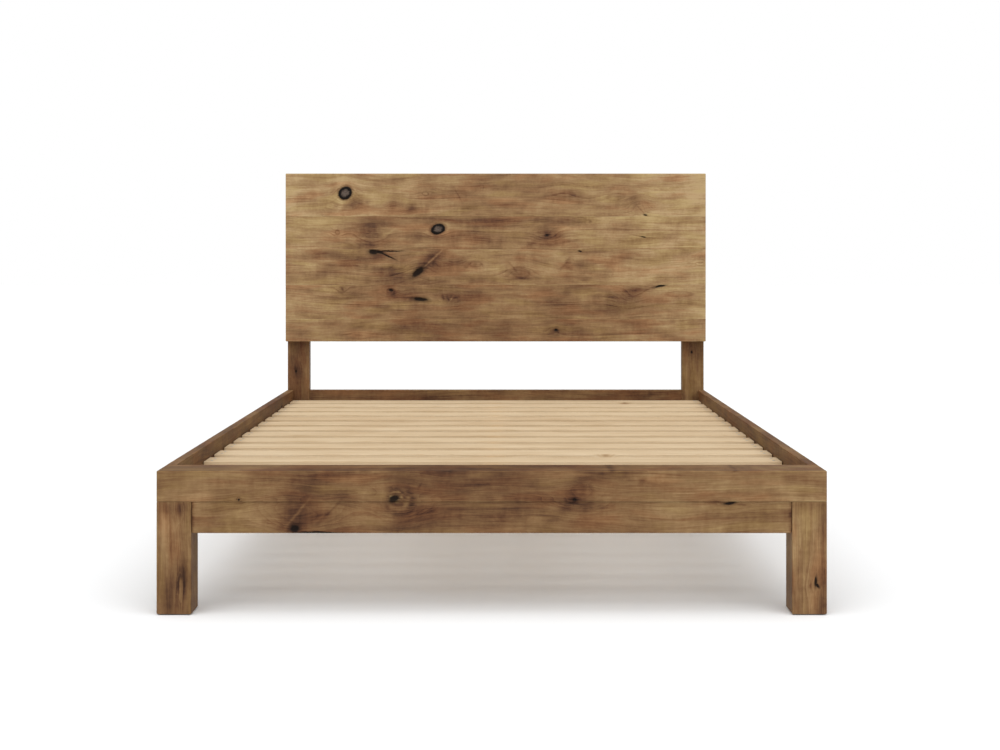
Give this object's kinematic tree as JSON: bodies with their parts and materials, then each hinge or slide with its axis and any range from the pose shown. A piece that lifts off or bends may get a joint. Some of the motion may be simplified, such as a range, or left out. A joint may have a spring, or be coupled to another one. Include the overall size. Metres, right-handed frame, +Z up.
{
  "type": "bed frame",
  "caption": "Queen platform bed frame in knotty wood: plank headboard on posts, heavy front beam on square legs, side rails, slats and a centre beam with a levelling leg.",
  "frame": {"origin": "on the floor, under the middle of the bounding box", "axes": "+Z up; the front of the bed, its foot end, faces -Y; the headboard is at +Y; +X is to the right seen from the foot end"},
  "size_m": [1.651, 2.2528, 1.21],
  "materials": {
    "stained_wood": "satin",
    "slat_wood": "matte",
    "zinc_steel": "satin",
    "black_nylon": "matte"
  },
  "bodies": {
    "bed_frame": {"headboard_board_1": "stained_wood", "headboard_board_2": "stained_wood", "headboard_board_3": "stained_wood", "headboard_board_4": "stained_wood", "headboard_board_5": "stained_wood", "headboard_post_left": "stained_wood", "headboard_post_right": "stained_wood", "headboard_batten_left": "stained_wood", "headboard_batten_right": "stained_wood", "head_cross_rail": "stained_wood", "front_beam": "stained_wood", "front_lower_rail": "stained_wood", "foot_inner_rail": "stained_wood", "front_leg_left": "stained_wood", "front_leg_right": "stained_wood", "side_rail_left": "stained_wood", "side_rail_right": "stained_wood", "slat_ledger_left": "slat_wood", "slat_ledger_right": "slat_wood", "slat_01": "slat_wood", "slat_02": "slat_wood", "slat_03": "slat_wood", "slat_04": "slat_wood", "slat_05": "slat_wood", "slat_06": "slat_wood", "slat_07": "slat_wood", "slat_08": "slat_wood", "slat_09": "slat_wood", "slat_10": "slat_wood", "slat_11": "slat_wood", "slat_12": "slat_wood", "slat_13": "slat_wood", "slat_14": "slat_wood", "centre_beam": "slat_wood", "centre_leg": "slat_wood", "centre_beam_hanger_front": "zinc_steel", "centre_beam_hanger_rear": "zinc_steel", "centre_leg_plate": "zinc_steel", "centre_leg_insert": "zinc_steel", "corner_bracket_front_left": "zinc_steel", "corner_bracket_front_right": "zinc_steel", "corner_bracket_rear_left": "zinc_steel", "corner_bracket_rear_right": "zinc_steel", "bolt_front_left_lower": "zinc_steel", "bolt_front_left_upper": "zinc_steel", "bolt_front_right_lower": "zinc_steel", "bolt_front_right_upper": "zinc_steel", "bolt_rear_left_lower": "zinc_steel", "bolt_rear_left_upper": "zinc_steel", "bolt_rear_right_lower": "zinc_steel", "bolt_rear_right_upper": "zinc_steel", "glide_front_left": "black_nylon", "glide_front_right": "black_nylon", "glide_rear_left": "black_nylon", "glide_rear_right": "black_nylon"},
    "levelling_foot": {"levelling_foot_stem": "zinc_steel", "levelling_foot_pad": "black_nylon"}
  },
  "joints": [
    {"name": "levelling_foot_height", "type": "slide", "parent": "bed_frame", "child": "levelling_foot", "axis": [0, 0, 1], "range_m": [-0.015, 0.008]}
  ]
}
